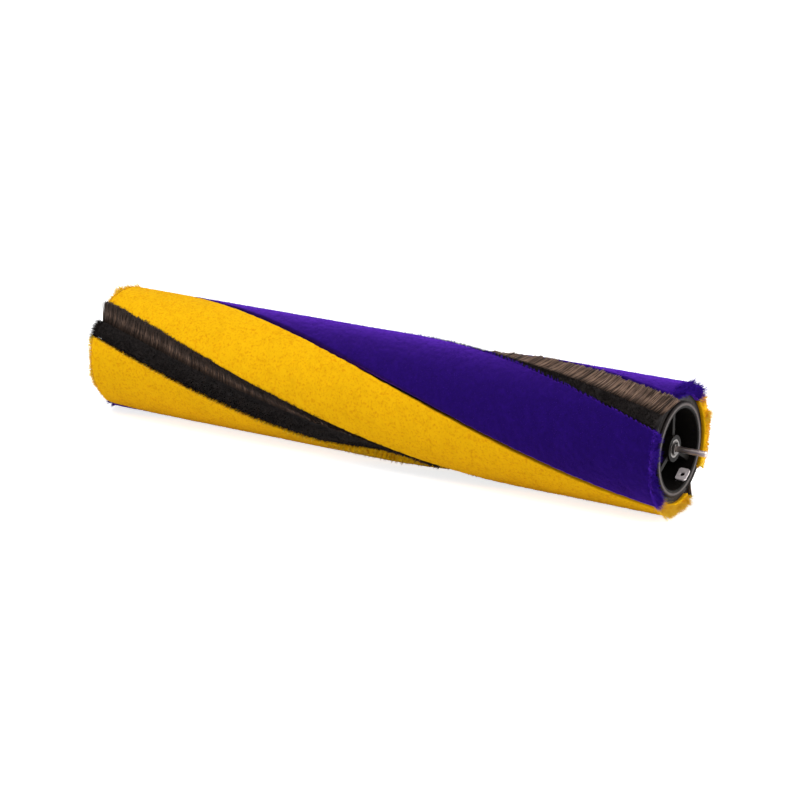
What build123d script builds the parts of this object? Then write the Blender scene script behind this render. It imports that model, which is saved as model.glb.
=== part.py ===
from build123d import *
import os
from math import cos, degrees, radians, sin, sqrt

os.makedirs("parts", exist_ok=True)

# Roller brush of a vacuum cleaner head. Its axis is X: the outer face of the motor end collar is at
# x = 0 and the axle leaves at +X. +Z is up as the roller lies on its pile.
# Lengths are in millimetres and angles in degrees, counted from +Y towards +Z.

# Core tube and the dovetail channels for the bristle strips
tube_radius = 18.0
tube_wall = 3.0
channel_depth = 1.2
channel_floor_width = 9.0
channel_mouth_width = 7.4

# Pile strips
pile_length = 224.2
pile_height = 3.85
motor_end_overhang = 1.0
open_end_overhang = 0.2
pile_edge_round = 1.4
pile_edge_flats = 3
glue_gap = 0.15
seam_gap = 0.5
flat_spot_depth = 0.36

# Helical layout, as it stands at x = 0: a channel, a wide strip and a narrow strip, and so on round
helix_lead = 468.0
channel_angle = 37.0
narrow_strip_angle = 65.0
first_channel_at = 138.0
wedge_spare = 0.5
strip_colours = [("yellow", "purple"), ("purple", "yellow")]

# Bristle strips
tape_gap = 0.1
tape_flange = 0.45
tape_side_gap = 0.5
tuft_count = 48
tuft_spacing_gap = 0.5
tuft_thickness = 1.4
tuft_lean = 68.0
tuft_root_depth = 0.7
tuft_floor_gap = 0.1

# Collars pressed into the tube
press_gap = 0.03
lip_thickness = 1.0
lip_overlap = 0.8
lip_chamfer = 0.3
sleeve_wall = 1.4
motor_sleeve_length = 10.0

# Bearing carrier
carrier_sleeve_length = 18.0
hub_length = 19.6
hub_wall = 1.4
hub_shoulder = 0.6
bearing_recess = 1.8
spoke_count = 3
spoke_thickness = 1.6
spoke_depth = 13.0
spoke_setback = 0.6
first_spoke_at = 90.0

# Miniature ball bearings
bearing_radius = 3.0
bearing_width = 3.0
bearing_seat_gap = 0.02
ball_radius = 0.5
ball_count = 7
ball_gap = 0.04
race_land = 0.3
shield_thickness = 0.25
shield_seat = 0.2
shield_gap = 0.04
shield_running_gap = 0.12
cage_start = 0.1
cage_depth = 0.7
cage_half_width = 0.2

# Axle and what holds it endwise
axle_radius = 1.0
axle_reach = 9.6
axle_tail = 0.8
axle_tip_chamfer = 0.3
axle_fit_gap = 0.02
spacer_wall = 0.6
shim_width = 0.6
shim_thickness = 0.2
ring_thickness = 0.5
ring_side_gap = 0.03
ring_width = 1.1
ring_groove_depth = 0.25
ring_groove_gap = 0.03
ring_mouth = 1.3
ring_mouth_at = 90.0
ring_prongs = 3
ring_notch_radius = 0.4

# Drive plate
plate_tail_gap = 2.5
plate_rim_wall = 1.8
plate_web = 2.5
drive_boss_length = 8.0
drive_boss_wall = 3.1
spline_count = 6
spline_core_radius = 4.0
spline_tooth_depth = 1.4
spline_tooth_width = 2.4

# Balance clip
clip_at = 303.0
clip_width = 5.0
clip_length = 3.8
clip_thickness = 0.5
clip_gap = 0.05
clip_setback = 0.3
clip_hole_radius = 0.8
clip_corner = 0.9

# Radii that follow from the sizes above
bore_radius = tube_radius - tube_wall
channel_floor = tube_radius - channel_depth
glue_radius = tube_radius + glue_gap
pile_radius = glue_radius + pile_height
tape_top = glue_radius + tape_flange
sleeve_radius = bore_radius - press_gap
mouth_radius = sleeve_radius - sleeve_wall
lip_radius = bore_radius + lip_overlap
seat_radius = bearing_radius + bearing_seat_gap
hub_radius = seat_radius + hub_wall
hub_bore = bearing_radius - hub_shoulder
axle_bore = axle_radius + axle_fit_gap
pitch_radius = (axle_radius + bearing_radius) / 2

# Places along the axis that follow from the sizes above
body_end = pile_length - motor_end_overhang - open_end_overhang
pile_start = -motor_end_overhang
tube_start = lip_thickness
tube_end = body_end - lip_thickness
tube_length = tube_end - tube_start
tape_start = pile_start
tape_length = tube_end - tape_start
carrier_start = tube_end - carrier_sleeve_length
hub_end = body_end - bearing_recess
hub_start = hub_end - hub_length
front_ring_start = hub_end + shim_thickness + ring_side_gap
rear_ring_start = hub_start - shim_thickness - ring_side_gap - ring_thickness
axle_start = rear_ring_start - ring_side_gap - axle_tail
axle_end = body_end + axle_reach
plate_web_end = axle_start - plate_tail_gap
plate_web_start = plate_web_end - plate_web

# Angles that follow from the helical layout
twist = 360.0 / helix_lead
group_angle = 360.0 / len(strip_colours)
wide_strip_angle = group_angle - channel_angle - narrow_strip_angle
channel_mids = [first_channel_at + group * group_angle for group in range(len(strip_colours))]


def along(x, angle):
    """Angle that a helical line has at x, when it has the given angle at x = 0."""
    return angle + twist * x


def half_angle(width, radius):
    """Half of the angle that a width takes up at a radius."""
    return degrees(width / 2 / radius)


def sector(x, mid, flank):
    """Sketch at x of an arched band, from its flank: radius and half-angle at each corner, floor first."""
    floor_radius, floor_half = flank[0]
    crown_radius, crown_half = flank[-1]
    with BuildSketch(Plane.YZ.offset(x)) as band:
        with BuildLine():
            CenterArc((0, 0), floor_radius, mid - floor_half, 2 * floor_half)
            CenterArc((0, 0), crown_radius, mid - crown_half, 2 * crown_half)
            for side in (-1, 1):
                Polyline([Vector(radius, 0).rotate(Axis.Z, mid + side * half) for radius, half in flank])
        make_face()
    return band.sketch


def carried_on(corner, inner_corner, step):
    """Corner moved outwards by a step in radius, on the line from the corner before it."""
    radius, half = corner
    inner_radius, inner_half = inner_corner
    slope = (half - inner_half) / (radius - inner_radius)
    return radius + step, half + slope * step


def helical_band(start, length, mid, flank):
    """Strip between two cylinders that winds along the axis: a ring cut by a twisted wedge."""
    floor = carried_on(flank[0], flank[1], -wedge_spare)
    crown = carried_on(flank[-1], flank[-2], wedge_spare)
    wedge = sector(start, mid, [floor, *flank[1:-1], crown])
    path = Line((start, 0, 0), (start + length, 0, 0))
    guide = Helix(helix_lead, length, tube_radius, center=(start, 0, 0), direction=(1, 0, 0))
    with BuildPart() as band:
        with BuildSketch(Plane.YZ.offset(start)):
            Circle(flank[-1][0])
            Circle(flank[0][0], mode=Mode.SUBTRACT)
        extrude(amount=length)
        sweep(sections=wedge, path=path, binormal=guide, mode=Mode.INTERSECT)
    return band.part


def ring(start, length, inner, outer):
    """Plain ring about the axis."""
    with BuildPart() as body:
        with BuildSketch(Plane.YZ.offset(start)):
            Circle(outer)
            Circle(inner, mode=Mode.SUBTRACT)
        extrude(amount=length)
    return body


def write(body, name):
    """Label a finished piece and write it to its own file."""
    body.part.label = name
    export_step(body.part, f"parts/{name}.step")


# Core tube: an extruded tube with one dovetail channel for each bristle strip
cut_start = tube_start - lip_thickness
cut_length = tube_length + 2 * lip_thickness
cut_top = tube_radius + channel_depth
cut_top_width = 2 * channel_mouth_width - channel_floor_width
channel_flank = [
    (channel_floor, half_angle(channel_floor_width, channel_floor)),
    (cut_top, half_angle(cut_top_width, cut_top)),
]
channels = [helical_band(cut_start, cut_length, along(cut_start, mid), channel_flank) for mid in channel_mids]
with BuildPart() as core_tube:
    with BuildSketch(Plane.YZ.offset(tube_start)):
        Circle(tube_radius)
        Circle(bore_radius, mode=Mode.SUBTRACT)
    extrude(amount=tube_length)
    add(channels, mode=Mode.SUBTRACT)
write(core_tube, "core_tube")

# Pile strips: a wide one after each channel, then a narrow one of the other colour. Their outer edges
# are rounded off in a few flats. Where the roller lies on its pile, the pile is pressed to a small flat.
seam_half = half_angle(seam_gap, tube_radius)
edge_turns = [radians(90 * step / pile_edge_flats) for step in range(pile_edge_flats + 1)]
for channel_mid, (wide_colour, narrow_colour) in zip(channel_mids, strip_colours):
    wide_at = channel_mid + channel_angle / 2
    narrow_at = wide_at + wide_strip_angle
    for name, starts_at, angle in [
        (f"wide_{wide_colour}_pile", wide_at, wide_strip_angle),
        (f"narrow_{narrow_colour}_pile", narrow_at, narrow_strip_angle),
    ]:
        mid = along(pile_start, starts_at + angle / 2)
        half = angle / 2 - seam_half
        pile_flank = [(glue_radius, half)]
        for turn in edge_turns:
            edge_radius = pile_radius - pile_edge_round * (1 - sin(turn))
            edge_inset = pile_edge_round * (1 - cos(turn))
            pile_flank.append((edge_radius, half - degrees(edge_inset / pile_radius)))
        with BuildPart() as pile_strip:
            add(helical_band(pile_start, pile_length, mid, pile_flank))
            split(bisect_by=Plane.XY.offset(flat_spot_depth - pile_radius), keep=Keep.TOP)
        write(pile_strip, name)

# Bristle strips: a tape with a dovetail foot and a flange on the tube, and tufts of filament that lean
# over towards the narrow pile strip. Their tips stay just inside the pile's flat. The tape starts flush
# with the pile at the motor end, and stops at the tube's other end.
flange_half = channel_angle / 2 - half_angle(2 * tape_side_gap, tube_radius)
foot_floor = channel_floor + tape_gap
foot_slope = (channel_floor_width - channel_mouth_width) / channel_depth
foot_width = channel_floor_width - 2 * tape_gap - foot_slope * tape_gap
foot_top_width = foot_width - foot_slope * (glue_radius - foot_floor)
foot_flank = [
    (foot_floor, half_angle(foot_width, foot_floor)),
    (glue_radius, half_angle(foot_top_width, glue_radius)),
]
flange_flank = [(glue_radius, flange_half), (tape_top, flange_half)]
lean = radians(tuft_lean)
tuft_pitch = tape_length / tuft_count
tuft_reach = pile_radius - flat_spot_depth - tuft_floor_gap - tuft_thickness / 2 * sin(lean)
tuft_rise = tape_top * cos(lean)
tuft_length = sqrt(tuft_rise**2 + tuft_reach**2 - tape_top**2) - tuft_rise
for channel_mid, (beside_colour, _) in zip(channel_mids, strip_colours):
    tape_mid = along(tape_start, channel_mid)
    with BuildPart() as bristle_strip:
        add(helical_band(tape_start, tape_length, tape_mid, foot_flank))
        add(helical_band(tape_start, tape_length, tape_mid, flange_flank))
        for tuft in range(tuft_count):
            tuft_x = tape_start + (tuft + 0.5) * tuft_pitch
            tuft_at = radians(along(tuft_x, channel_mid))
            outward = Vector(0, cos(tuft_at), sin(tuft_at))
            around = Vector(0, -sin(tuft_at), cos(tuft_at))
            run = Vector(1, 0, 0) + around * (tape_top * radians(twist))
            leaning = outward * cos(lean) - around * sin(lean)
            root = Vector(tuft_x, 0, 0) + outward * tape_top - leaning * tuft_root_depth
            with BuildSketch(Plane(root, x_dir=run, z_dir=leaning)):
                Rectangle(tuft_pitch - tuft_spacing_gap, tuft_thickness)
        extrude(amount=tuft_length + tuft_root_depth)
    write(bristle_strip, f"bristle_strip_beside_{beside_colour}")

# Motor end collar: a moulded ring in the tube's open mouth, with a lip on the tube's end
with BuildPart() as motor_end_collar:
    with BuildSketch(Plane.YZ):
        Circle(lip_radius)
    extrude(amount=lip_thickness)
    with BuildSketch(Plane.YZ.offset(lip_thickness)):
        Circle(sleeve_radius)
    extrude(amount=motor_sleeve_length)
    chamfer(motor_end_collar.edges().group_by(Axis.X)[0], lip_chamfer)
    with BuildSketch(Plane.YZ):
        Circle(mouth_radius)
    extrude(amount=lip_thickness + motor_sleeve_length, mode=Mode.SUBTRACT)
write(motor_end_collar, "motor_end_collar")

# Bearing carrier: one moulding with the lip, the sleeve in the tube, the spokes and the bearing hub
with BuildPart() as bearing_carrier:
    with BuildSketch(Plane.YZ.offset(carrier_start)):
        Circle(sleeve_radius)
    extrude(amount=carrier_sleeve_length)
    with BuildSketch(Plane.YZ.offset(tube_end)):
        Circle(lip_radius)
    extrude(amount=lip_thickness)
    with BuildSketch(Plane.YZ.offset(carrier_start)):
        Circle(mouth_radius)
    extrude(amount=carrier_sleeve_length + lip_thickness, mode=Mode.SUBTRACT)
    chamfer(bearing_carrier.edges().group_by(Axis.X)[-1], lip_chamfer)
    with BuildSketch(Plane.YZ.offset(hub_end - spoke_setback - spoke_depth)):
        with PolarLocations(mouth_radius / 2, spoke_count, first_spoke_at):
            Rectangle(mouth_radius + sleeve_wall, spoke_thickness)
    extrude(amount=spoke_depth)
    with BuildSketch(Plane.YZ.offset(hub_start)):
        Circle(hub_radius)
    extrude(amount=hub_length)
    with BuildSketch(Plane.YZ.offset(hub_start)):
        Circle(hub_bore)
    extrude(amount=hub_length, mode=Mode.SUBTRACT)
    with BuildSketch(Plane.YZ.offset(hub_start), Plane.YZ.offset(hub_end - bearing_width)):
        Circle(seat_radius)
    extrude(amount=bearing_width, mode=Mode.SUBTRACT)
write(bearing_carrier, "bearing_carrier")

# Ball bearings: the front one is flush with the hub's outer end, the rear one with its inner end
outer_land = pitch_radius + race_land
inner_land = pitch_radius - race_land
shield_seat_radius = outer_land + shield_seat
for place, bearing_start in [("front", hub_end - bearing_width), ("rear", hub_start)]:
    ball_plane = Plane.YZ.offset(bearing_start + bearing_width / 2)
    shield_starts = [bearing_start, bearing_start + bearing_width - shield_thickness]

    with BuildPart() as outer_race:
        with BuildSketch(Plane.YZ.offset(bearing_start)):
            Circle(bearing_radius)
            Circle(outer_land, mode=Mode.SUBTRACT)
        extrude(amount=bearing_width)
        with BuildSketch(*[Plane.YZ.offset(start) for start in shield_starts]):
            Circle(shield_seat_radius)
        extrude(amount=shield_thickness, mode=Mode.SUBTRACT)
        with Locations(ball_plane):
            Torus(pitch_radius, ball_radius + ball_gap, mode=Mode.SUBTRACT)
    write(outer_race, f"{place}_outer_race")

    with BuildPart() as inner_race:
        with BuildSketch(Plane.YZ.offset(bearing_start)):
            Circle(inner_land)
            Circle(axle_bore, mode=Mode.SUBTRACT)
        extrude(amount=bearing_width)
        with Locations(ball_plane):
            Torus(pitch_radius, ball_radius + ball_gap, mode=Mode.SUBTRACT)
    write(inner_race, f"{place}_inner_race")

    with BuildPart() as balls:
        with Locations(ball_plane):
            with PolarLocations(pitch_radius, ball_count):
                Sphere(ball_radius)
    write(balls, f"{place}_balls")

    with BuildPart() as ball_cage:
        with BuildSketch(ball_plane.offset(cage_start)):
            Circle(pitch_radius + cage_half_width)
            Circle(pitch_radius - cage_half_width, mode=Mode.SUBTRACT)
        extrude(amount=cage_depth)
        with Locations(ball_plane):
            with PolarLocations(pitch_radius, ball_count):
                Sphere(ball_radius + ball_gap, mode=Mode.SUBTRACT)
    write(ball_cage, f"{place}_ball_cage")

    shield_hole = inner_land + shield_running_gap
    for side, shield_start in zip(["inward", "outward"], shield_starts):
        shield = ring(shield_start, shield_thickness, shield_hole, shield_seat_radius - shield_gap)
        write(shield, f"{place}_{side}_shield")

# Axle: a ground pin with a groove for an E-ring at each end of the bearings
groove_radius = axle_radius - ring_groove_depth
groove_starts = [rear_ring_start - ring_side_gap, front_ring_start - ring_side_gap]
with BuildPart() as axle:
    with BuildSketch(Plane.YZ.offset(axle_start)):
        Circle(axle_radius)
    extrude(amount=axle_end - axle_start)
    chamfer(axle.edges().filter_by(GeomType.CIRCLE), axle_tip_chamfer)
    with BuildSketch(*[Plane.YZ.offset(start) for start in groove_starts]):
        Circle(axle_radius)
        Circle(groove_radius, mode=Mode.SUBTRACT)
    extrude(amount=ring_thickness + 2 * ring_side_gap, mode=Mode.SUBTRACT)
write(axle, "axle")

# Spacer between the two inner races
spacer = ring(
    hub_start + bearing_width,
    hub_length - 2 * bearing_width,
    axle_bore,
    axle_bore + spacer_wall,
)
write(spacer, "bearing_spacer")

# Shims and E-rings outside the inner races
ring_radius = axle_radius + ring_width
for place, shim_start, ring_start in [
    ("front", hub_end, front_ring_start),
    ("rear", hub_start - shim_thickness, rear_ring_start),
]:
    shim = ring(shim_start, shim_thickness, axle_bore, axle_bore + shim_width)
    write(shim, f"{place}_shim")

    with BuildPart() as e_ring:
        with BuildSketch(Plane.YZ.offset(ring_start)):
            Circle(ring_radius)
            Circle(groove_radius + ring_groove_gap, mode=Mode.SUBTRACT)
            with PolarLocations(ring_radius, 1, ring_mouth_at):
                Rectangle(2 * ring_radius, ring_mouth, mode=Mode.SUBTRACT)
            with PolarLocations(axle_radius, ring_prongs, ring_mouth_at):
                Circle(ring_notch_radius, mode=Mode.SUBTRACT)
        extrude(amount=ring_thickness)
    write(e_ring, f"{place}_e_ring")

# Drive plate: a cup that stands against the carrier, with a splined socket for the motor's output
plate_rim_length = carrier_start - plate_web_end
drive_boss_radius = spline_core_radius + spline_tooth_depth + drive_boss_wall
with BuildPart() as drive_plate:
    with BuildSketch(Plane.YZ.offset(plate_web_start)):
        Circle(sleeve_radius)
    extrude(amount=plate_web + plate_rim_length)
    with BuildSketch(Plane.YZ.offset(plate_web_end)):
        Circle(sleeve_radius - plate_rim_wall)
    extrude(amount=plate_rim_length, mode=Mode.SUBTRACT)
    with BuildSketch(Plane.YZ.offset(plate_web_start)):
        Circle(drive_boss_radius)
    extrude(amount=-drive_boss_length)
    with BuildSketch(Plane.YZ.offset(plate_web_start)):
        Circle(spline_core_radius)
        with PolarLocations(spline_core_radius, spline_count):
            Rectangle(2 * spline_tooth_depth, spline_tooth_width)
    extrude(amount=-drive_boss_length, mode=Mode.SUBTRACT)
write(drive_plate, "drive_plate")

# Balance clip: a curved steel leaf on the inside wall, just behind the lip
clip_start = body_end - clip_setback - clip_length
clip_outer = mouth_radius - clip_gap
clip_half = half_angle(clip_width, clip_outer)
clip_out = Vector(0, cos(radians(clip_at)), sin(radians(clip_at)))
leaf_flank = [(clip_outer - clip_thickness, clip_half), (clip_outer, clip_half)]
leaf = sector(clip_start, clip_at, leaf_flank)
with BuildPart() as balance_clip:
    extrude(to_extrude=leaf, amount=clip_length)
    corner_edges = balance_clip.edges().filter_by(GeomType.LINE).filter_by(Axis.X, reverse=True)
    fillet(corner_edges, clip_corner)
    with BuildSketch(Plane((clip_start + clip_length / 2, 0, 0), x_dir=(1, 0, 0), z_dir=clip_out)):
        Circle(clip_hole_radius)
    extrude(amount=mouth_radius, mode=Mode.SUBTRACT)
write(balance_clip, "balance_clip")
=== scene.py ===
import bpy
import numpy as np
from mathutils import Matrix, Vector


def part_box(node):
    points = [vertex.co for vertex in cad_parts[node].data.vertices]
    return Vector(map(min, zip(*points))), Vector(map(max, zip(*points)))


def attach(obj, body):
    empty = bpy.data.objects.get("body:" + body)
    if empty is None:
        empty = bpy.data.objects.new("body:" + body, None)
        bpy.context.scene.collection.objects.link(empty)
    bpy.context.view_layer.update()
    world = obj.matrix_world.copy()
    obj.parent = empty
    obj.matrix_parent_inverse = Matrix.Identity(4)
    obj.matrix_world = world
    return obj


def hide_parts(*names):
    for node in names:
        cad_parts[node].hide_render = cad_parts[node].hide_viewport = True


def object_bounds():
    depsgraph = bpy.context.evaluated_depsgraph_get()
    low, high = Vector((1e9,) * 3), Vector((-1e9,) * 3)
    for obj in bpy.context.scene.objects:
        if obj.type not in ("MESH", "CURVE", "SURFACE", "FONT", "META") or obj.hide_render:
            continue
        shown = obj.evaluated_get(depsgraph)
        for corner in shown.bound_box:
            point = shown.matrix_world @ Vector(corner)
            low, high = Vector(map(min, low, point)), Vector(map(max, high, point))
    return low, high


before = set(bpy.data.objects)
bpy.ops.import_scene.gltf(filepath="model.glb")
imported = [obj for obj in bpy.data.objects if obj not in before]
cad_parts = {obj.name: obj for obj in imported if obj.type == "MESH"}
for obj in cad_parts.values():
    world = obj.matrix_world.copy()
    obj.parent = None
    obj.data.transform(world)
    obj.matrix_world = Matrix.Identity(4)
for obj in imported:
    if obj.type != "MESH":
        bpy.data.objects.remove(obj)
cad_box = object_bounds()

# Core tube: an extruded tube of dark filled plastic, cut with two helical dovetail channels.
# The strips are glued over it, so only its end faces and the edges of the channels show.
mm = 0.001
noise_low = 0.3
noise_high = 0.7


def new_finish(name):
    """Material with one shader, and the tree that its other nodes go into."""
    material = bpy.data.materials.new(name)
    material.use_nodes = True
    return material, material.node_tree, material.node_tree.nodes["Principled BSDF"]


def grain(tree, cell, detail=4.0, stretch=(1.0, 1.0, 1.0)):
    """Noise on the place in the frame, with cells of a size in metres, longer along a stretched axis."""
    place = tree.nodes.new("ShaderNodeTexCoord")
    fitted = tree.nodes.new("ShaderNodeMapping")
    noise = tree.nodes.new("ShaderNodeTexNoise")
    fitted.inputs["Scale"].default_value = [1 / (cell * longer) for longer in stretch]
    noise.inputs["Scale"].default_value = 1.0
    noise.inputs["Detail"].default_value = detail
    tree.links.new(place.outputs["Object"], fitted.inputs["Vector"])
    tree.links.new(fitted.outputs["Vector"], noise.inputs["Vector"])
    return noise.outputs["Fac"]


def ramp(tree, value, stops):
    """Colour that runs with a value through stops of a position and a colour."""
    node = tree.nodes.new("ShaderNodeValToRGB")
    elements = node.color_ramp.elements
    while len(elements) < len(stops):
        elements.new(0.5)
    for element, (position, colour) in zip(elements, stops):
        element.position = position
        element.color = (*colour, 1.0)
    tree.links.new(value, node.inputs["Fac"])
    return node.outputs["Color"]


def mottled(tree, noise, dark, light):
    """Colour that runs from dark to light over the middle of a noise's range."""
    return ramp(tree, noise, [(noise_low, dark), (noise_high, light)])


def between(tree, value, low, high, start=noise_low, end=noise_high):
    """Number that runs from low to high as a value goes from start to end."""
    node = tree.nodes.new("ShaderNodeMapRange")
    node.inputs["From Min"].default_value = start
    node.inputs["From Max"].default_value = end
    node.inputs["To Min"].default_value = low
    node.inputs["To Max"].default_value = high
    tree.links.new(value, node.inputs["Value"])
    return node.outputs["Result"]


def raised(tree, shader, height, depth, strength):
    """Bump of a depth in metres from a height."""
    node = tree.nodes.new("ShaderNodeBump")
    node.inputs["Distance"].default_value = depth
    node.inputs["Strength"].default_value = strength
    tree.links.new(height, node.inputs["Height"])
    tree.links.new(node.outputs["Normal"], shader.inputs["Normal"])


def shaded(colour, share):
    """Colour made darker or lighter by a share."""
    return tuple(min(channel * share, 1.0) for channel in colour)


def moulded_skin(tree, shader, dull_low, dull_high, specular):
    """Skin of a moulding: an eroded mould texture, and a dull shine that is uneven."""
    dull = between(tree, grain(tree, skin_shine_cell), dull_low, dull_high)
    tree.links.new(dull, shader.inputs["Roughness"])
    raised(tree, shader, grain(tree, skin_grit_cell), skin_grit_depth, skin_grit_strength)
    shader.inputs["Specular IOR Level"].default_value = specular


def moulded_plastic(name, colour, dull_low, dull_high):
    """Plastic of one colour, a little mottled, with the skin of a moulding."""
    material, tree, shader = new_finish(name)
    dark, light = shaded(colour, mottle_dark), shaded(colour, mottle_light)
    tree.links.new(mottled(tree, grain(tree, mottle_cell), dark, light), shader.inputs["Base Color"])
    moulded_skin(tree, shader, dull_low, dull_high, plastic_specular)
    return material


def dress(material, *nodes):
    """Give a finish to CAD nodes."""
    for node in nodes:
        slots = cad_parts[node].data.materials
        slots.clear()
        slots.append(material)


mottle_cell = 6 * mm
mottle_dark = 0.75
mottle_light = 1.25
skin_shine_cell = 1.5 * mm
skin_grit_cell = 0.25 * mm
skin_grit_depth = 0.03 * mm
skin_grit_strength = 0.5
plastic_specular = 0.2
tube_grey = (0.010, 0.007, 0.006)
dress(moulded_plastic("tube_plastic", tube_grey, dull_low=0.42, dull_high=0.62), "core_tube")

# Pile strips: four bands of short dense pile on a woven back, wound round the tube and glued down.
# The pile is cut level, rounds over at its edges, and frays into tufts beside the channels and at the
# ends. It is pressed flat along the line that the roller lies on.


def winding_turn(x):
    """Angle that the winding has turned by at x along the axis: once round in each lead."""
    return 2 * np.pi * x / winding_lead


def wound(x, angle, radius):
    """Points of the winding: x along the axis, at a radius, and at an angle that turns with x."""
    turned = angle + winding_turn(x)
    return np.stack(np.broadcast_arrays(x, radius * np.cos(turned), radius * np.sin(turned)), axis=-1)


def unit(vectors):
    """Rows of vectors, each divided by its length."""
    return vectors / np.linalg.norm(vectors, axis=1, keepdims=True)


def outward_and_around(turned):
    """Directions at angles about the axis: straight out from it, and round it."""
    flat = np.zeros_like(turned)
    outward = np.stack([flat, np.cos(turned), np.sin(turned)], axis=1)
    around = np.stack([flat, -np.sin(turned), np.cos(turned)], axis=1)
    return outward, around


def ripple(x, across, cell, random):
    """Smooth noise from -1 to 1: random values on a grid of square cells, eased between their corners."""
    columns = int(np.ptp(across) / cell) + 3
    rows = int(np.ptp(x) / cell) + 3
    corner = random.uniform(-1, 1, (rows, columns))
    row = (x - x.min()) / cell
    column = (across - across.min()) / cell
    i, j = row.astype(int), column.astype(int)
    u, v = row - i, column - j
    u, v = u * u * (3 - 2 * u), v * v * (3 - 2 * v)
    near = corner[i, j] * (1 - v) + corner[i, j + 1] * v
    far = corner[i + 1, j] * (1 - v) + corner[i + 1, j + 1] * v
    return near * (1 - u) + far * u


def run_faces(rows, columns):
    """Quads of a closed loop of columns carried along rows, with a cap at each end, facing outwards."""
    index = np.arange(rows * columns).reshape(rows, columns)
    ahead = np.roll(index, -1, axis=1)
    quads = np.stack([index[:-1], ahead[:-1], ahead[1:], index[1:]], axis=-1).reshape(-1, 4)
    return quads.tolist() + [index[0, ::-1].tolist(), index[-1].tolist()]


def three_corners(heading, reference):
    """Three directions square to each heading, a third of a turn apart: the first is its cross product
    with a reference."""
    aside = unit(np.cross(heading, reference))
    other = np.cross(heading, aside)
    turn = 2 * np.pi * np.arange(3) / 3
    return aside[:, None] * np.cos(turn)[:, None] + other[:, None] * np.sin(turn)[:, None]


def spikes(root, heading, length, width):
    """Tapered fibres: a three-cornered foot of a width at the root, and a tip along the heading."""
    heading = unit(heading)
    along_axis = np.abs(heading[:, :1]) >= 0.8
    corners = three_corners(heading, np.where(along_axis, [[0, 1.0, 0]], [[1.0, 0, 0]]))
    foot = root[:, None] + corners * (width[:, None, None] / 2)
    tip = root + heading * length[:, None]
    points = np.concatenate([foot, tip[:, None]], axis=1).reshape(-1, 3)
    sides = np.array([[0, 1, 3], [1, 2, 3], [2, 0, 3], [0, 2, 1]])
    faces = (4 * np.arange(len(root))[:, None, None] + sides).reshape(-1, 3)
    return points, faces


def new_piece(name, surface, fibres, material):
    """Object from a smooth surface and any fibres on it, each given as points, faces and a tone."""
    points, faces, tone = surface
    smooth = len(faces)
    for fibre_points, fibre_faces, fibre_tone in fibres:
        faces = faces + (fibre_faces + len(points)).tolist()
        points = np.concatenate([points, fibre_points])
        tone = np.concatenate([tone, fibre_tone])
    mesh = bpy.data.meshes.new(name)
    mesh.from_pydata(points, [], faces)
    mesh.polygons.foreach_set("use_smooth", np.arange(len(faces)) < smooth)
    mesh.attributes.new("tone", "FLOAT", "POINT").data.foreach_set("value", tone.astype(np.float32))
    mesh.materials.append(material)
    piece = bpy.data.objects.new(name, mesh)
    bpy.context.scene.collection.objects.link(piece)
    return piece


def tone_of(tree):
    """Tone that a piece's mesh gives to each point."""
    node = tree.nodes.new("ShaderNodeAttribute")
    node.attribute_name = "tone"
    return node.outputs["Fac"]


def pile_finish(name, painted_shade_colour, body, bright, tip, fleck, sheen_colour, sheen):
    """Cut pile: painted shade low between the fibres, paler at their tips, with painted light on the
    highest tones; flecked and softly sheened.
    """
    material, tree, shader = new_finish(name)
    # Low tones take the painted shade colour, and the two palest colours, for the highest tones, are
    # painted light
    fibre = ramp(tree, tone_of(tree), [(0.0, painted_shade_colour), (0.5, body), (0.8, bright), (1.0, tip)])
    flecked = tree.nodes.new("ShaderNodeMix")
    flecked.data_type = "RGBA"
    flecks = between(tree, grain(tree, fleck_cell, detail=2.0), -fleck_share, fleck_share)
    tree.links.new(flecks, flecked.inputs["Factor"])
    tree.links.new(fibre, flecked.inputs["A"])
    flecked.inputs["B"].default_value = (*fleck, 1.0)
    cloudy = tree.nodes.new("ShaderNodeMix")
    cloudy.data_type = "RGBA"
    cloudy.blend_type = "MULTIPLY"
    cloudy.inputs["Factor"].default_value = 1.0
    tree.links.new(flecked.outputs["Result"], cloudy.inputs["A"])
    cloud = mottled(tree, grain(tree, cloud_cell, detail=2.0), cloud_dark, cloud_light)
    tree.links.new(cloud, cloudy.inputs["B"])
    tree.links.new(cloudy.outputs["Result"], shader.inputs["Base Color"])
    raised(tree, shader, grain(tree, pile_bump_cell, detail=3.0), pile_bump_depth, pile_bump_strength)
    shader.inputs["Roughness"].default_value = 0.95
    shader.inputs["Specular IOR Level"].default_value = 0.05
    shader.inputs["Sheen Weight"].default_value = sheen
    shader.inputs["Sheen Roughness"].default_value = 0.45
    shader.inputs["Sheen Tint"].default_value = (*sheen_colour, 1.0)
    return material


def pile_side(edge_round):
    """One side of the pile's section, from its root to the crown: how far it is set in, and its height.
    It goes straight up and then over a quarter round."""
    turn = np.linspace(0, np.pi / 2, pile_side_steps)
    inset = np.concatenate([np.zeros(pile_side_steps), edge_round * (1 - np.cos(turn))])
    wall = np.linspace(0, pile_height - edge_round, pile_side_steps + 1)[:-1]
    return inset, np.concatenate([wall, pile_height - edge_round * (1 - np.sin(turn))])


def pile_section(half_width, channel_side, seam_round):
    """Top of the pile's section, from root to root: distance from its middle, and height over the back."""
    first_inset, first_rise = pile_side(seam_round if channel_side > 0 else pile_edge_round)
    last_inset, last_rise = pile_side(pile_edge_round if channel_side > 0 else seam_round)
    first = first_inset - half_width
    last = half_width - last_inset[::-1]
    crown = np.linspace(first[-1], last[0], int((last[0] - first[-1]) / pile_cell) + 1)[1:-1]
    height = np.concatenate([first_rise, np.full(len(crown), pile_height), last_rise[::-1]])
    return np.concatenate([first, crown, last]), height


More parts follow.
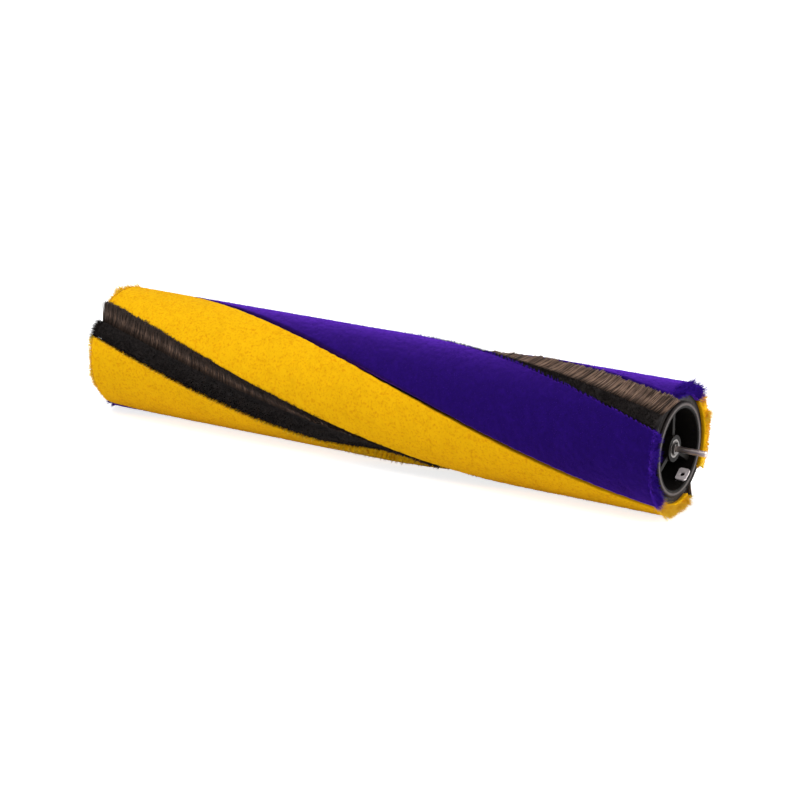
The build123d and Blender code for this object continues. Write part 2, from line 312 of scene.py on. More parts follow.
def between_tufts(x):
    """Row of tufts along an edge: 0 on each tuft, up to 1 in the notch beside it. It is a cosine wave
    whose pitch drifts by two sine waves, and whose depth wanders by a bent one."""
    drift = sum(turn * np.sin(x / run) for turn, run in tuft_drifts)
    wander = np.sin(x / notch_run + notch_bend * np.sin(x / notch_bend_run))
    depth = notch_mean + notch_spread * wander
    return depth * (0.5 - 0.5 * np.cos(2 * np.pi * x / tuft_pitch + drift))


def pile_surface(middle, half_width, channel_side, tufted, seam_round, painted_seam_shade, random):
    """Closed band of pile: its section carried along the winding and eased down by a quarter round at
    the ends. It is notched beside the channel, and smooth noise swells and sways it."""
    top_across, top_height = pile_section(half_width, channel_side, seam_round)
    back_across = np.linspace(half_width, -half_width, pile_back_columns)[1:-1]
    across = np.concatenate([top_across, back_across])[None]
    height = np.concatenate([top_height, np.zeros(len(back_across))])[None]
    x = np.linspace(pile_start, pile_end, int((pile_end - pile_start) / pile_cell))[:, None]
    end_round = np.where(x - pile_start < pile_end - x, pile_start_round, pile_end_round)
    at_end = 1 - np.minimum(np.minimum(x - pile_start, pile_end - x) / end_round, 1)
    ease = 1 - np.sqrt(1 - at_end**2)
    lift = height / pile_height
    grid_x, grid_across = np.broadcast_arrays(x, across)
    broad = ripple(grid_x, grid_across, broad_cell, random)
    clump = ripple(grid_x, grid_across, clump_cell, random)
    fine = ripple(grid_x, grid_across, fine_cell, random)
    sway = sway_reach * ripple(grid_x, grid_across, sway_cell, random)
    swell = broad_swell * broad + clump_swell * clump + fine_swell * fine
    edge = tufted * np.clip((channel_side * across - half_width) / pile_edge_round + 1, 0, 1)
    seam = np.clip((-channel_side * across - half_width) / seam_round + 1, 0, 1)
    notch = edge * between_tufts(x) * np.minimum(2 * lift, 1)
    radius = glue_radius + height - lift * ease * end_round + lift * swell
    moved = across + lift * sway - channel_side * notch_depth * notch
    points = wound(grid_x, middle + moved / pile_radius, radius).reshape(-1, 3)
    points[:, 2] = np.maximum(points[:, 2], floor_level)
    # Tone: painted shade towards the root, in the notches and at the seam, and painted light at the channel
    # edge and the ends. The clumps and fine noise are the pile's own uneven tone.
    tone = root_painted_shade + painted_shade_lift_to_crown * lift**0.6 + (clump_tone * clump + fine_tone * fine) * lift
    tone = tone + painted_edge_light * edge * lift**0.5 - painted_notch_shade * notch - painted_seam_shade * seam + painted_end_light * at_end
    return points, run_faces(*grid_x.shape), tone.reshape(-1)


def planted(middle, x, across, height, lean, length, width, tone, random):
    """Fibres of a strip, rooted at x, across and height, and leaning along the axis, round it and
    outwards by the three parts of a lean. Those that would reach through the floor are left out."""
    angle = middle + across / pile_radius
    outward, around = outward_and_around(angle + winding_turn(x))
    heading = unit(lean[:, :1] * [[1.0, 0, 0]] + lean[:, 1:2] * around + lean[:, 2:] * outward)
    root = wound(x, angle, glue_radius + height)
    tip = root + heading * length[:, None]
    clear = np.minimum(root[:, 2] - width, tip[:, 2]) > floor_level
    widths = width * random.uniform(*fibre_spread, len(x))
    points, faces = spikes(root[clear], heading[clear], length[clear], widths[clear])
    single = np.clip(random.normal(tone, fibre_tone_spread, len(x)), 0, 1)[clear]
    # Each fibre is darker at its foot and paler at its tip: painted shade down in the pile
    shade = np.stack([single - fibre_painted_tip_shade] * 3 + [single + fibre_painted_tip_shade], axis=1).reshape(-1)
    return points, faces, shade


def nap_fibres(middle, half_width, channel_side, seam_round, random):
    """Short fibres all over the crown and the rounded edges, square to the section and a little ruffled."""
    top_across, top_height = pile_section(half_width, channel_side, seam_round)
    run = np.concatenate([[0], np.cumsum(np.hypot(np.diff(top_across), np.diff(top_height)))])
    count = int(nap_density * 2 * half_width * (pile_end - pile_start))
    spot = random.uniform(*nap_part, count) * run[-1]
    spot = spot[-channel_side * np.interp(spot, run, top_across) < half_width - seam_round]
    count = len(spot)
    x = random.uniform(pile_start + nap_end_gap, pile_end - nap_end_gap, count)
    climb = np.clip(np.interp(spot, run, np.gradient(top_height, run)), -1, 1)
    lean = np.stack([np.zeros(count), -climb, np.sqrt(1 - climb**2)], axis=1)
    lean += random.normal(0, nap_ruffle, lean.shape)
    height = np.interp(spot, run, top_height) - nap_root_depth
    length = random.uniform(*nap_length, count)
    across = np.interp(spot, run, top_across)
    return planted(middle, x, across, height, lean, length, nap_width, nap_tone, random)


def edge_tufts(middle, half_width, channel_side, random):
    """Upright tufts down the side that faces the channel, with a notch between each two."""
    x = random.uniform(pile_start + fibre_margin, pile_end - fibre_margin, tuft_fibre_count)
    x = x[between_tufts(x) < tuft_part]
    count = len(x)
    height = random.uniform(fibre_margin, pile_height - fibre_margin, count)
    along = random.normal(0, tuft_along, count)
    around = channel_side * random.uniform(*tuft_around, count)
    outward = random.uniform(*tuft_outward, count)
    length = random.uniform(*tuft_length, count)
    lean = np.stack([along, around, outward], axis=1)
    across = np.full(count, channel_side * (half_width - tuft_inset))
    return planted(middle, x, across, height, lean, length, tuft_width, tuft_painted_light, random)


def end_fray(middle, half_width, end, way, reach, random):
    """Longer fibres that lean out past an end, in ragged clumps."""
    count = int(2 * half_width * fray_density)
    across = random.uniform(-half_width + fibre_margin, half_width - fibre_margin, count)
    ragged = ripple(np.zeros(count), across, fray_clump, random)
    height = random.uniform(fray_lowest, pile_height - fray_below_crown, count)
    along = way * random.uniform(*fray_along, count)
    around = random.normal(0, fray_around, count)
    outward = random.uniform(*fray_outward, count)
    lean = np.stack([along, around, outward], axis=1)
    length = reach * (1 + fray_raggedness * ragged) * random.uniform(*fibre_spread, count)
    x = end - way * random.uniform(*fray_root_depth, count)
    tone = fray_painted_light + fray_tone_spread * ragged
    return planted(middle, x, across, height, lean, length, fray_width, tone, random)


def pile_strip(width, colour, starts_at, channel_side, random):
    """One strip of pile in place of its solid, with its nap, edge tufts and frayed ends. Half of the
    seam's gap comes off the side that is away from the channel."""
    name = f"{width}_{colour}_pile"
    half_angle = strip_angles[width] / 2
    middle = np.radians(starts_at + half_angle) + channel_side * seam_gap / 4 / pile_radius
    half_width = np.radians(half_angle) * pile_radius - seam_gap / 4
    tufted = width == "wide"
    seam_round = seam_rounds[colour]
    painted_seam_shade = painted_seam_shades[colour]
    surface = pile_surface(middle, half_width, channel_side, tufted, seam_round, painted_seam_shade, random)
    fibres = [
        nap_fibres(middle, half_width, channel_side, seam_round, random),
        end_fray(middle, half_width, pile_start, -1, motor_end_fray[width], random),
        end_fray(middle, half_width, pile_end, 1, axle_end_fray, random),
    ]
    if tufted:
        fibres.append(edge_tufts(middle, half_width, channel_side, random))
    strip = new_piece(name + "_nap", surface, fibres, pile_finishes[colour])
    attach(strip, "roller")
    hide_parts(name)


tube_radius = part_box("core_tube")[1].y
pile_low, pile_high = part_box("wide_yellow_pile")
pile_start, pile_end = pile_low.x, pile_high.x
pile_radius = pile_high.y
glue_thickness = 0.15 * mm
glue_radius = tube_radius + glue_thickness
pile_height = pile_radius - glue_radius
floor_level = cad_box[0].z
winding_lead = 468 * mm

# Angles of the winding where x is 0, in degrees from +Y towards +Z
channel_angle = 37.0
channel_middles = {"yellow": 138.0, "purple": 318.0}
strip_angles = {"wide": 78.0, "narrow": 65.0}

# Outer shape
pile_edge_round = 0.8 * mm
pile_start_round = 2.0 * mm
pile_end_round = 1.2 * mm
pile_cell = 0.5 * mm
pile_side_steps = 5
pile_back_columns = 10
seam_gap = 0.9 * mm
seam_rounds = {"yellow": 0.5 * mm, "purple": 1.1 * mm}
# Painted shade at each strip's seam edge, darkening the gap between strips
painted_seam_shades = {"yellow": 0.12, "purple": 0.55}

# Notches between the tufts beside a channel
tuft_pitch = 1.7 * mm
tuft_drifts = [(1.6, 3.7 * mm), (1.0, 1.45 * mm)]
notch_depth = 0.45 * mm
notch_mean = 0.65
notch_spread = 0.35
notch_run = 2.3 * mm
notch_bend = 2
notch_bend_run = 7.9 * mm

# Smooth noise in the surface, and what each part of the pile adds to its tone
broad_cell = 9 * mm
broad_swell = 0.06 * mm
clump_cell = 2.2 * mm
clump_swell = 0.04 * mm
fine_cell = 0.9 * mm
fine_swell = 0.08 * mm
sway_cell = 1.7 * mm
sway_reach = 0.14 * mm
# Painted shade: the tone is lowest at the root of the pile and rises towards its crown
root_painted_shade = 0.24
painted_shade_lift_to_crown = 0.26
clump_tone = 0.03
fine_tone = 0.04
# Painted light on the tufted edge beside the channel
painted_edge_light = 0.4
# Painted light on the pile's ends
painted_end_light = 0.4
# Painted shade in the notches between the edge tufts
painted_notch_shade = 0.45

# Every fibre
fibre_margin = 0.3 * mm
fibre_spread = (0.7, 1.3)
fibre_tone_spread = 0.13
# Painted shade down in the pile: each fibre is darker at its foot and paler at its tip
fibre_painted_tip_shade = 0.1

# Nap
nap_density = 2.1e6
nap_part = (0.07, 0.93)
nap_end_gap = 0.6 * mm
nap_root_depth = 0.38 * mm
nap_length = (0.5 * mm, 0.8 * mm)
nap_width = 0.24 * mm
nap_ruffle = 0.32
nap_tone = 0.55

# Edge tufts, which lean along the axis, round it and outwards by random shares
tuft_fibre_count = 7000
tuft_part = 0.3
tuft_inset = 0.25 * mm
tuft_length = (1.0 * mm, 1.7 * mm)
tuft_width = 0.4 * mm
tuft_along = 0.12
tuft_around = (0.0, 0.3)
tuft_outward = (0.7, 1.0)
# Painted light: a high tone on the tufts, which stand in shade beside the channel
tuft_painted_light = 0.95

# Frayed ends, with the same three leans
fray_density = 90e3
fray_clump = 2.4 * mm
fray_raggedness = 0.65
fray_lowest = 0.15 * mm
fray_below_crown = 0.4 * mm
fray_root_depth = (0.4 * mm, 1.0 * mm)
fray_width = 0.21 * mm
fray_along = (0.4, 1.1)
fray_around = 0.3
fray_outward = (-0.25, 1.0)
# Painted light: a high tone on the frayed fibres, whose spread with the ragged clumps is their own uneven
# tone
fray_painted_light = 0.92
fray_tone_spread = 0.15
motor_end_fray = {"wide": 1.4 * mm, "narrow": 2.3 * mm}
axle_end_fray = 2.2 * mm

# Colours and finish
fleck_cell = 0.8 * mm
fleck_share = 0.75
cloud_cell = 14 * mm
cloud_dark = (0.95, 0.95, 0.95)
cloud_light = (1.0, 1.0, 1.0)
pile_bump_cell = 0.35 * mm
pile_bump_depth = 0.2 * mm
pile_bump_strength = 0.5
# For each pile: a painted shade colour, its own colour, and two paler colours of painted light
pile_finishes = {
    "yellow": pile_finish(
        "yellow_pile", painted_shade_colour=(0.38, 0.12, 0.002), body=(0.87, 0.47, 0.003), bright=(0.95, 0.55, 0.006),
        tip=(1.0, 0.74, 0.08), fleck=(0.70, 0.27, 0.001), sheen_colour=(1.0, 0.7, 0.15), sheen=0.05,
    ),
    "purple": pile_finish(
        "purple_pile", painted_shade_colour=(0.007, 0.001, 0.032), body=(0.011, 0.0015, 0.10), bright=(0.03, 0.005, 0.22),
        tip=(0.07, 0.02, 0.40), fleck=(0.008, 0.001, 0.070), sheen_colour=(0.25, 0.06, 1.0), sheen=1.0,
    ),
}
pile_seed = 41
for number, (wide_colour, channel_middle) in enumerate(channel_middles.items()):
    narrow_colour = "purple" if wide_colour == "yellow" else "yellow"
    wide_at = channel_middle + channel_angle / 2
    random = np.random.default_rng(pile_seed + number)
    pile_strip("wide", wide_colour, wide_at, -1, random)
    pile_strip("narrow", narrow_colour, wide_at + strip_angles["wide"], 1, random)

# Bristle strips: a black tape whose dovetail foot slides into the channel, with a row of stiff
# brown-grey filaments set in clumps along its middle. They lean over on to the narrow pile strip, and
# the other half of the tape carries a short black fuzz.


def tape_section():
    """Section of the tape, from edge to edge over its top and back round its foot: angle and radius."""
    top = np.linspace(-flange_half, flange_half, tape_top_columns)
    foot_floor = np.linspace(foot_half, -foot_half, tape_foot_columns)
    angle = np.concatenate([top, [flange_half, foot_top_half], foot_floor, [-foot_top_half, -flange_half]])
    radius = np.concatenate([
        np.full(len(top), tape_top), np.full(2, glue_radius), np.full(len(foot_floor), foot_radius),
        np.full(2, glue_radius),
    ])
    return angle[None], radius[None]


def pressed(turned):
    """How far the hairs at an angle are pressed in by lying underneath: 0 for none and 1 for most."""
    return np.clip((-np.sin(turned) - press_start) / press_run, 0, 1)


def mat_height(middle, x, share):
    """Thickness of the matted fuzz: none at the filaments, most at the pile's side, less underneath."""
    underneath = pressed(middle + winding_turn(x))
    return fuzz_mat * np.clip(share, 0, 1) ** fuzz_mat_curve * (1 - fuzz_mat_press * underneath)


def tape_surface(middle, random):
    """Closed tape: its section carried along the winding, roughened on top, and thicker under the fuzz."""
    angle, radius = tape_section()
    x = np.linspace(tape_start, tape_end, tape_rows)[:, None]
    grid_x, grid_angle = np.broadcast_arrays(x, angle)
    on_top = radius == tape_top
    rough = ripple(grid_x, grid_angle * tape_top, tape_rough_cell, random)
    matted = mat_height(middle, x, angle / flange_half)
    raised_radius = radius + on_top * (matted + tape_rough_height * rough)
    points = wound(grid_x, middle + angle, raised_radius).reshape(-1, 3)
    tone = tape_tone + tape_tone_spread * rough
    return points, run_faces(*grid_x.shape), tone.reshape(-1)


def black_fuzz(middle, random):
    """Short black hairs over the bare half of the tape, ruffled, and leaning out at its ends. The first
    of them stand close together at the start."""
    count = int(fuzz_density * flange_half * tape_top * (tape_end - tape_start))
    first = slice(fuzz_start_count)
    x = random.uniform(tape_start + fuzz_end_gap, tape_end - fuzz_end_gap, count)
    x[first] = tape_start + random.uniform(*fuzz_start_x, fuzz_start_count)
    share = random.uniform(*fuzz_part, count)
    share[first] = random.uniform(*fuzz_start_part, fuzz_start_count)
    angle = middle + share * flange_half
    turned = angle + winding_turn(x)
    rise = mat_height(middle, x, share)
    rise[first] *= random.uniform(0, 1, fuzz_start_count)
    root = wound(x, angle, tape_top + rise - fuzz_root_depth)
    outward = outward_and_around(turned)[0]
    heading = outward + random.normal(0, fuzz_ruffle, outward.shape)
    at_start = np.clip((tape_start + fuzz_start_run - x) / fuzz_ease, 0, 1)
    at_end = np.clip((x - tape_end + fuzz_end_run) / fuzz_ease, 0, 1)
    heading[:, 0] += fuzz_end_lean * at_end
    heading[:, 0] -= fuzz_start_lean * at_start * random.uniform(0, 1, count)
    length = (fuzz_length + fuzz_length_gain * share) * random.uniform(*fuzz_length_spread, count)
    length *= 1 + fuzz_start_longer * at_start - fuzz_press * pressed(turned)
    length[first] *= fuzz_first_longer - fuzz_first_drop * share[first]
    tip = root + heading * length[:, None]
    clear = np.minimum(root[:, 2] - fuzz_width, tip[:, 2]) > floor_level
    widths = fuzz_width * random.uniform(*fibre_spread, clear.sum())
    points, faces = spikes(root[clear], heading[clear], length[clear], widths)
    tone = np.clip(random.normal(fuzz_tone, fuzz_tone_spread, clear.sum()), 0, 1)
    return points, faces, np.repeat(tone, 4)


def filament_row(middle, brightness, painted_tip_shade, mean_slant, random):
    """Stiff hairs in clumps: three-sided rods in two straight lengths, with a slight bend between."""
    x = np.sort(random.uniform(tape_start + fibre_margin, tape_end - fibre_margin, filament_count))
    clump_count = int((tape_end - tape_start) / clump_length)
    clump = np.searchsorted(np.sort(random.uniform(tape_start, tape_end, clump_count - 1)), x)
    lock = ((x - tape_start) / lock_length).astype(int)

    def varied(by_clump, by_lock, by_hair):
        """Sum of three random differences: one for a clump, one for a lock, and one for each hair."""
        each = random.normal(0, by_clump, clump_count)[clump]
        each = each + random.normal(0, by_lock, lock.max() + 1)[lock]
        return each + random.normal(0, by_hair, len(x))

    lean = filament_lean + np.radians(varied(*lean_degrees))
    fanned = filament_fan * np.exp((tape_start - x) / filament_fan_reach)
    slant = mean_slant - fanned + np.radians(varied(*slant_degrees))
    angle = middle + random.uniform(-filament_row_half, filament_row_half, len(x)) / tape_top
    turned = angle + winding_turn(x)
    length = filament_length + varied(*length_spread)
    length = length - filament_press * pressed(turned - filament_press_turn)
    width = filament_width * random.uniform(*filament_width_spread, len(x))
    outward, around = outward_and_around(turned)
    axis = np.array([[1.0, 0, 0]])

    def heading(tilt):
        """Direction that is tilted back from straight out, and slanted along the axis."""
        back = outward * np.cos(tilt)[:, None] - around * np.sin(tilt)[:, None]
        return unit(back + axis * np.tan(slant)[:, None])

    root = wound(x, angle, tape_top - filament_root_depth)
    bend = root + heading(lean + filament_bend) * (length / 2)[:, None]
    tip = bend + heading(lean - filament_bend) * (length / 2)[:, None]
    ring = three_corners(heading(lean), axis)
    rings = [
        centre[:, None] + ring * (width * share / 2)[:, None, None]
        for centre, share in ((root, 1.0), (bend, 1.0), (tip, filament_taper))
    ]
    points = np.stack(rings, axis=1).reshape(-1, 3)
    points[:, 2] = np.maximum(points[:, 2], floor_level)
    corner = np.arange(3)
    ahead = (corner + 1) % 3
    walls = [np.stack([corner + s, ahead + s, ahead + s + 3, corner + s + 3], axis=1) for s in (0, 3)]
    first = 9 * np.arange(len(x))[:, None, None]
    quads = (first + np.concatenate(walls)).reshape(-1, 4).tolist()
    caps = (first + np.array([[0, 2, 1], [6, 7, 8]])).reshape(-1, 3).tolist()
    shade = np.clip(brightness * (1 + varied(*shade_spread)), filament_darkest, 1)
    # Painted shade at the filaments' roots in the channel, and at their tips where the row's tip tone is
    # low
    tone = shade[:, None] * np.repeat([filament_root_painted_shade, filament_bend_tone, painted_tip_shade], 3)
    return points, quads + caps, tone.reshape(-1)


def hair_finish(name, stops, dull_low, dull_high):
    """Plastic hairs, each one darker or lighter by its tone, with a dull shine."""
    material, tree, shader = new_finish(name)
    tree.links.new(ramp(tree, tone_of(tree), stops), shader.inputs["Base Color"])
    dull = between(tree, grain(tree, hair_shine_cell), dull_low, dull_high)
    tree.links.new(dull, shader.inputs["Roughness"])
    raised(tree, shader, grain(tree, hair_bump_cell), hair_bump_depth, hair_bump_strength)
    shader.inputs["Specular IOR Level"].default_value = 0.15
    return material


tape_low, tape_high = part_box("bristle_strip_beside_yellow")
tape_start, tape_end = tape_low.x, tape_high.x
tape_thickness = 0.45 * mm
tape_side_gap = 0.5 * mm
foot_depth = 1.1 * mm
foot_half_width = 4.3 * mm
foot_neck_half_width = 3.6 * mm
tape_top = glue_radius + tape_thickness
foot_radius = tube_radius - foot_depth
flange_half = np.radians(channel_angle / 2) - tape_side_gap / tube_radius
foot_half = foot_half_width / foot_radius
foot_top_half = foot_neck_half_width / glue_radius
tape_rows = 320
tape_top_columns = 34
tape_foot_columns = 6
tape_rough_cell = 0.9 * mm
tape_rough_height = 0.1 * mm
tape_tone = 0.25
tape_tone_spread = 0.25
press_start = 0.5
press_run = 0.2

# Black fuzz
fuzz_mat = 2.6 * mm
fuzz_mat_curve = 0.6
fuzz_mat_press = 0.85
fuzz_density = 12e6
fuzz_part = (0.04, 1.11)
fuzz_end_gap = 0.2 * mm
fuzz_root_depth = 0.3 * mm
fuzz_width = 0.2 * mm
fuzz_length = 0.9 * mm
fuzz_length_gain = 0.7 * mm
fuzz_length_spread = (0.75, 1.25)
fuzz_press = 0.4
fuzz_ruffle = 0.28
fuzz_ease = 1.0 * mm
fuzz_start_run = 1.5 * mm
fuzz_start_lean = 2.2
fuzz_start_longer = 0.6
fuzz_end_run = 1.0 * mm
fuzz_end_lean = 0.4
fuzz_start_count = 520
fuzz_start_x = (0.05 * mm, 1.0 * mm)
fuzz_start_part = (0.04, 1.25)
fuzz_first_longer = 1.8
fuzz_first_drop = 0.8
fuzz_tone = 0.35
fuzz_tone_spread = 0.22

# Filaments, with spreads for a clump, a lock and a hair
filament_count = 9000
filament_width = 0.26 * mm
filament_width_spread = (0.75, 1.2)
filament_taper = 0.7
filament_length = 7.3 * mm
filament_press = 1.7 * mm
filament_press_turn = 0.45
filament_root_depth = 0.25 * mm
filament_row_half = 0.62 * mm
filament_bend = np.radians(5.0)
filament_lean = np.radians(66.0)
filament_fan = np.radians(24.0)
filament_fan_reach = 5.0 * mm
clump_length = 3.1 * mm
lock_length = 0.5 * mm
lean_degrees = (2.0, 1.5, 2.5)
slant_degrees = (2.0, 2.0, 3.0)
length_spread = (0.22 * mm, 0.2 * mm, 0.22 * mm)
shade_spread = (0.08, 0.12, 0.5)
filament_darkest = 0.05
# Painted shade: the filaments are darker at their roots, and beside the yellow pile at their tips
filament_root_painted_shade = 0.35
filament_bend_tone = 1.2
row_brightness = {"yellow": 0.38, "purple": 0.59}
row_painted_tip_shade = {"yellow": 0.4, "purple": 0.9}
row_slant = {"yellow": np.radians(16.0), "purple": np.radians(36.0)}

# Colours and finish of the tape and the filaments
hair_shine_cell = 0.8 * mm
hair_bump_cell = 0.2 * mm
hair_bump_depth = 0.05 * mm
hair_bump_strength = 0.4
brown_grey = [(0.0, (0.007, 0.005, 0.004)), (0.5, (0.085, 0.055, 0.042)), (1.0, (0.36, 0.23, 0.165))]
soft_black = [(0.0, (0.003, 0.002, 0.002)), (0.6, (0.012, 0.008, 0.007)), (1.0, (0.065, 0.048, 0.044))]
filament_material = hair_finish("bristle_filaments", brown_grey, dull_low=0.4, dull_high=0.62)
tape_material = hair_finish("bristle_tape", soft_black, dull_low=0.6, dull_high=0.85)
bristle_seed = 71
for number, (beside, channel_middle) in enumerate(channel_middles.items()):
    random = np.random.default_rng(bristle_seed + number)
    middle = np.radians(channel_middle)
    surface = tape_surface(middle, random)
    tape = new_piece(f"tape_beside_{beside}", surface, [black_fuzz(middle, random)], tape_material)
    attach(tape, "roller")
    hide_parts(f"bristle_strip_beside_{beside}")
    row = filament_row(middle, row_brightness[beside], row_painted_tip_shade[beside], row_slant[beside], random)
    filaments = new_piece(f"filaments_beside_{beside}", row, [], filament_material)
    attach(filaments, "roller")

# Motor end collar and bearing carrier: two mouldings in grey plastic, pressed into the ends of the
# tube. The carrier has the spokes and the hub that the bearings sit in.


def carrier_finish(name, painted_inner_shade, face, painted_rim_highlight):
    """Moulded plastic with painted shade, dark within the mouth and behind the lip's face, and a painted
    highlight as a lighter ring on the lip's face a little outside the mouth. The colours go by the distance
    from the axis, and by how close to the face a point lies."""
    material, tree, shader = new_finish(name)
    place = tree.nodes.new("ShaderNodeTexCoord")
    across = tree.nodes.new("ShaderNodeVectorMath")
    across.operation = "MULTIPLY"
    across.inputs[1].default_value = (0.0, 1.0, 1.0)
    tree.links.new(place.outputs["Object"], across.inputs[0])
    radius = tree.nodes.new("ShaderNodeVectorMath")
    radius.operation = "LENGTH"
    tree.links.new(across.outputs["Vector"], radius.inputs[0])
    outwards = between(tree, radius.outputs["Value"], 0.0, 1.0, lip_inner, lip_outer)
    # Painted shade within the mouth, a painted highlight as a lighter ring, and the lip's own face colour
    stops = [(0.0, painted_inner_shade), (0.50, painted_inner_shade), (0.56, painted_rim_highlight), (0.68, painted_rim_highlight), (0.78, face), (1.0, face)]
    painted_rings = ramp(tree, outwards, stops)
    # Painted shade over everything behind the lip's face
    along = tree.nodes.new("ShaderNodeSeparateXYZ")
    tree.links.new(place.outputs["Object"], along.inputs["Vector"])
    on_lip = between(tree, along.outputs["X"], 0.0, 1.0, lip_back, lip_front)
    colour = tree.nodes.new("ShaderNodeMix")
    colour.data_type = "RGBA"
    tree.links.new(on_lip, colour.inputs["Factor"])
    colour.inputs["A"].default_value = (*painted_inner_shade, 1.0)
    tree.links.new(painted_rings, colour.inputs["B"])
    tree.links.new(colour.outputs["Result"], shader.inputs["Base Color"])
    moulded_skin(tree, shader, dull_low=0.42, dull_high=0.58, specular=carrier_specular)
    return material


mouth_radius = 13.57 * mm
lip_inner = mouth_radius - 1.0 * mm
lip_outer = mouth_radius + 2.5 * mm
carrier_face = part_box("bearing_carrier")[1].x
lip_back = carrier_face - 0.9 * mm
lip_front = carrier_face - 0.4 * mm
collar_grey = (0.024, 0.018, 0.016)
# Painted shade within the carrier, and a painted highlight on the lip's ring
carrier_painted_inner_shade = (0.006, 0.005, 0.0045)
carrier_lip = (0.017, 0.013, 0.012)
painted_rim_highlight_grey = (0.105, 0.088, 0.084)
carrier_specular = 0.08
dress(moulded_plastic("collar_plastic", collar_grey, dull_low=0.3, dull_high=0.48), "motor_end_collar")
dress(carrier_finish("carrier_plastic", carrier_painted_inner_shade, carrier_lip, painted_rim_highlight_grey), "bearing_carrier")

# Drive plate: a black moulded cup deep inside the tube, whose splined socket takes the motor's drive.
# It is pressed against the back of the bearing carrier.
plate_black = (0.012, 0.010, 0.010)
dress(moulded_plastic("drive_plastic", plate_black, dull_low=0.4, dull_high=0.6), "drive_plate")

# Ball bearings: a front and a rear one, each of two ground rings, seven balls in a pressed cage, and
# two thin shields. The outer rings turn with the hub, and the inner rings stay on the axle.


def steel(name, colour, dull_low, dull_high, lines, depth, metal=1.0):
    """Bright steel with fine tool lines of a size and depth, and a slightly uneven shine."""
    material, tree, shader = new_finish(name)
    mottle = grain(tree, steel_mottle_cell)
    tree.links.new(mottled(tree, mottle, shaded(colour, steel_dark), colour), shader.inputs["Base Color"])
    tree.links.new(between(tree, mottle, dull_low, dull_high), shader.inputs["Roughness"])
    raised(tree, shader, grain(tree, lines, 2.0, tool_line_stretch), depth, tool_line_strength)
    shader.inputs["Metallic"].default_value = metal
    return material


steel_mottle_cell = 1.2 * mm
steel_dark = 0.88
tool_line_stretch = (1.0, 12.0, 12.0)
tool_line_strength = 0.4
ring_grey = (0.26, 0.24, 0.23)
shield_grey = (0.12, 0.11, 0.105)
bearing_steel = steel(
    "bearing_steel", ring_grey, dull_low=0.32, dull_high=0.46, lines=0.12 * mm, depth=0.004 * mm
)
pressed_steel = steel(
    "pressed_steel", shield_grey, dull_low=0.40, dull_high=0.55, lines=0.20 * mm, depth=0.006 * mm
)
for place in ("front", "rear"):
    dress(bearing_steel, f"{place}_outer_race", f"{place}_inner_race", f"{place}_balls")
    dress(pressed_steel, f"{place}_ball_cage", f"{place}_inward_shield", f"{place}_outward_shield")

# Axle: a ground steel pin that stays still while the roller turns, with a tube between the bearings'
# inner rings. An E-ring and a shim outside each bearing hold it endwise.
axle_bright = (0.60, 0.51, 0.48)
spring_grey = (0.16, 0.15, 0.145)
axle_steel = steel(
    "axle_steel", axle_bright, dull_low=0.28, dull_high=0.38, lines=0.10 * mm, depth=0.0015 * mm
)
spring_steel = steel(
    "spring_steel", spring_grey, dull_low=0.32, dull_high=0.46, lines=0.15 * mm, depth=0.005 * mm
)
dress(axle_steel, "axle", "bearing_spacer")
dress(spring_steel, "front_shim", "rear_shim", "front_e_ring", "rear_e_ring")

# Balance clip: a small bright leaf of spring steel, bent to the inside wall of the carrier just
# behind its lip and held there by its own spring.
clip_bright = (0.95, 0.85, 0.86)
clip_steel = steel(
    "clip_steel", clip_bright, dull_low=0.35, dull_high=0.50, lines=0.18 * mm, depth=0.006 * mm, metal=0.1
)
dress(clip_steel, "balance_clip")

# Studio: a white sheet that the roller lies on, an even white surround, and three soft lights.
# The largest is overhead, a weak one stands in front, and one stands beyond the open end.


def seen_directly(tree):
    """One for the rays that the camera sees, straight, reflected or through glass, and none for others."""
    path = tree.nodes.new("ShaderNodeLightPath")
    total = path.outputs["Is Camera Ray"]
    for kind in ("Is Glossy Ray", "Is Transmission Ray"):
        either = tree.nodes.new("ShaderNodeMath")
        either.operation = "MAXIMUM"
        tree.links.new(total, either.inputs[0])
        tree.links.new(path.outputs[kind], either.inputs[1])
        total = either.outputs["Value"]
    return total


sheet_half = 4.0
sheet_glow = 0.74
sheet_white = (0.8, 0.8, 0.8, 1.0)
full_white = (1.0, 1.0, 1.0, 1.0)
sheet_mesh = bpy.data.meshes.new("white_sheet")
sheet_x = np.array([-1, 1, 1, -1]) * sheet_half
sheet_y = np.array([-1, -1, 1, 1]) * sheet_half
sheet_mesh.from_pydata(np.stack([sheet_x, sheet_y, np.full(4, floor_level)], axis=1), [], [[0, 1, 2, 3]])
sheet = bpy.data.objects.new("white_sheet", sheet_mesh)
bpy.context.scene.collection.objects.link(sheet)
sheet_material, sheet_tree, sheet_shader = new_finish("white_sheet")
sheet_shader.inputs["Base Color"].default_value = sheet_white
sheet_shader.inputs["Roughness"].default_value = 1.0
sheet_shader.inputs["Specular IOR Level"].default_value = 0.0
sheet_shader.inputs["Emission Color"].default_value = full_white
glow = sheet_tree.nodes.new("ShaderNodeMath")
glow.operation = "MULTIPLY"
glow.inputs[1].default_value = sheet_glow
sheet_tree.links.new(seen_directly(sheet_tree), glow.inputs[0])
sheet_tree.links.new(glow.outputs["Value"], sheet_shader.inputs["Emission Strength"])
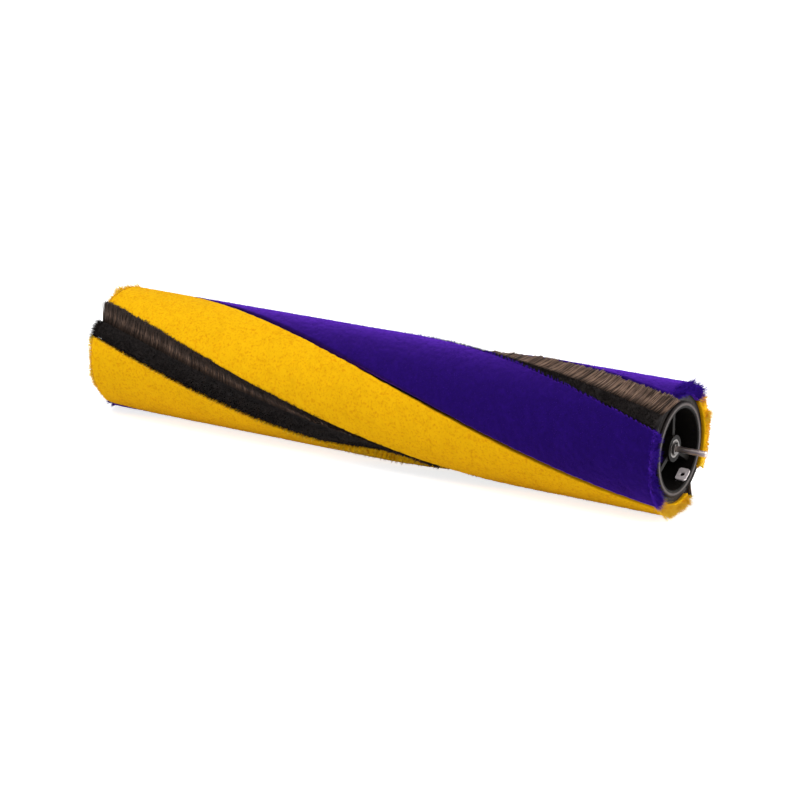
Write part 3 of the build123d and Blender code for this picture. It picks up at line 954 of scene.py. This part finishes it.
sheet_mesh.materials.append(sheet_material)

surround_strength = 0.35
world = bpy.data.worlds.new("white_surround")
bpy.context.scene.world = world
world.use_nodes = True
surround_tree = world.node_tree
surround = surround_tree.nodes["Background"]
surround.inputs["Color"].default_value = full_white
seen = seen_directly(surround_tree)
surround_level = between(surround_tree, seen, surround_strength, 1.0, start=0.0, end=1.0)
surround_tree.links.new(surround_level, surround.inputs["Strength"])


def soft_light(name, offset, size, power):
    """Square soft light of a size and power, at an offset from the roller's middle, which it faces."""
    lamp = bpy.data.lights.new(name, "AREA")
    lamp.size = size
    lamp.energy = power
    light = bpy.data.objects.new(name, lamp)
    light.location = roller_middle + Vector(offset)
    light.rotation_euler = (roller_middle - light.location).to_track_quat("-Z", "Y").to_euler()
    bpy.context.scene.collection.objects.link(light)


roller_middle = Vector((112 * mm, 0, 0))
soft_light("overhead_light", (-0.10, -0.20, 0.80), size=0.7, power=5.0)
soft_light("front_light", (-0.40, -0.80, 0.10), size=0.6, power=2.8)
soft_light("end_light", (0.75, 0.25, 0.28), size=0.5, power=5.0)

# Camera: a long lens in front of the roller, round towards its open end and a little above it.
# It is shifted a little aside and down, which sets the roller's place in the picture.
camera_turn = np.radians(31.85)
camera_rise = np.radians(17.62)
camera_distance = 0.9112
camera_aside = 0.0039
camera_lower = 0.00175
back = Vector((
    np.sin(camera_turn) * np.cos(camera_rise),
    -np.cos(camera_turn) * np.cos(camera_rise),
    np.sin(camera_rise),
))
right = Vector((np.cos(camera_turn), np.sin(camera_turn), 0))
up = back.cross(right)
lens = bpy.data.cameras.new("camera")
lens.sensor_fit = "HORIZONTAL"
lens.sensor_width = 36.0
lens.lens = 119.2
camera = bpy.data.objects.new("camera", lens)
facing = Matrix((right, up, back)).transposed().to_4x4()
camera_place = roller_middle + back * camera_distance + right * camera_aside - up * camera_lower
camera.matrix_world = Matrix.Translation(camera_place) @ facing
bpy.context.scene.collection.objects.link(camera)
bpy.context.scene.camera = camera
bpy.context.scene.view_settings.view_transform = "Standard"
